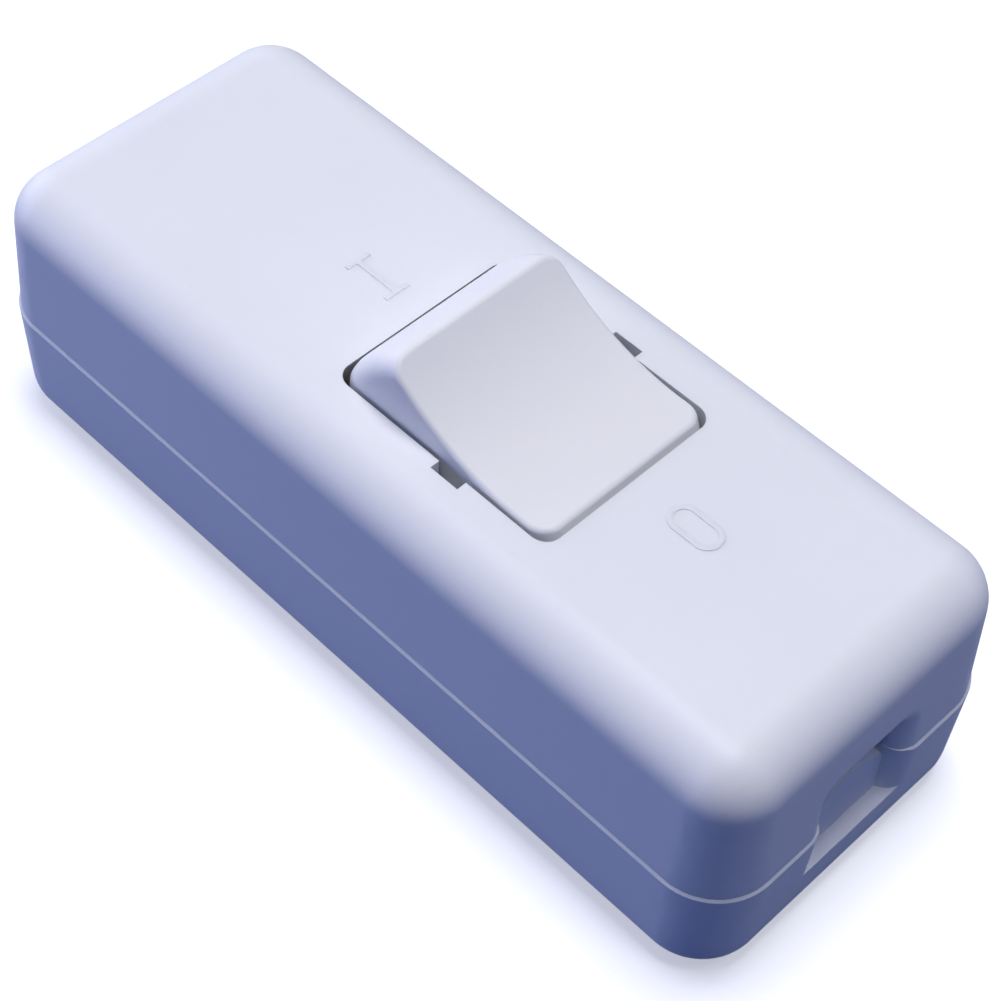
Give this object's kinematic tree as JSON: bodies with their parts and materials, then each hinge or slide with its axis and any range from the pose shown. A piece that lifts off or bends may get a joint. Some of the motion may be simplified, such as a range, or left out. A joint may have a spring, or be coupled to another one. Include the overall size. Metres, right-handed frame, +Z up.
{
  "type": "inline cord switch",
  "caption": "Inline two-pole rocker switch for a mains cord: a long rounded two-shell case with a dished rocker in its top and a flared cord entry in each end.",
  "frame": {"origin": "centre of the flat base, which lies on Z = 0", "axes": "+X along the case to the end marked O, +Y across it, +Z up out of the rocker face"},
  "size_m": [0.083, 0.0324, 0.0307],
  "materials": {
    "case_plastic": "smooth satin moulding",
    "rocker_plastic": "smooth satin moulding",
    "clamp_plastic": "natural nylon",
    "plunger_plastic": "dark moulded",
    "brass": "machined",
    "copper_alloy": "rolled strip",
    "silver_contact": "silver alloy",
    "spring_steel": "drawn wire",
    "plated_steel": "zinc plated"
  },
  "bodies": {
    "housing": {"upper_shell": "case_plastic", "lower_shell": "case_plastic", "earth_connector": "brass", "cord_clamp_load": "clamp_plastic", "clamp_screw_load_1": "plated_steel", "clamp_screw_load_2": "plated_steel", "cord_clamp_supply": "clamp_plastic", "clamp_screw_supply_1": "plated_steel", "clamp_screw_supply_2": "plated_steel", "fixed_contact_live": "silver_contact", "supply_terminal_live": "brass", "load_terminal_live": "brass", "supply_screw_live": "plated_steel", "load_screw_live": "plated_steel", "fixed_contact_neutral": "silver_contact", "supply_terminal_neutral": "brass", "load_terminal_neutral": "brass", "supply_screw_neutral": "plated_steel", "load_screw_neutral": "plated_steel", "earth_screw_1": "plated_steel", "case_screw_1": "plated_steel", "earth_screw_2": "plated_steel", "case_screw_2": "plated_steel"},
    "rocker": {"rocker": "rocker_plastic", "plunger_spring_live": "spring_steel", "plunger_spring_neutral": "spring_steel"},
    "plunger_live": {"plunger_live": "plunger_plastic"},
    "blade_live": {"contact_blade_live": "copper_alloy", "moving_contact_live": "silver_contact"},
    "plunger_neutral": {"plunger_neutral": "plunger_plastic"},
    "blade_neutral": {"contact_blade_neutral": "copper_alloy", "moving_contact_neutral": "silver_contact"}
  },
  "joints": [
    {"name": "rocker_swing", "type": "hinge", "parent": "housing", "child": "rocker", "pos_m": [0.0051, 0, 0.0205], "axis": [0, -1, 0], "range_deg": [0, 36]},
    {"name": "blade_rock_live", "type": "hinge", "parent": "housing", "child": "blade_live", "pos_m": [0.0051, -0.0049, 0.01294], "axis": [0, -1, 0], "range_deg": [-18, 0]},
    {"name": "plunger_slide_live", "type": "slide", "parent": "rocker", "child": "plunger_live", "axis": [0.309, 0, 0.9511], "range_m": [0, 0.0008], "stiffness_N_per_m": 300, "springref_m": -0.0015, "deforming": ["plunger_spring_live"]},
    {"name": "blade_rock_neutral", "type": "hinge", "parent": "housing", "child": "blade_neutral", "pos_m": [0.0051, 0.0049, 0.01294], "axis": [0, -1, 0], "range_deg": [-18, 0]},
    {"name": "plunger_slide_neutral", "type": "slide", "parent": "rocker", "child": "plunger_neutral", "axis": [0.309, 0, 0.9511], "range_m": [0, 0.0008], "stiffness_N_per_m": 300, "springref_m": -0.0015, "deforming": ["plunger_spring_neutral"]}
  ],
  "couplings": [
    {"joint": "blade_rock_live", "follows": "rocker_swing", "ratio": -0.5},
    {"joint": "blade_rock_neutral", "follows": "rocker_swing", "ratio": -0.5}
  ]
}
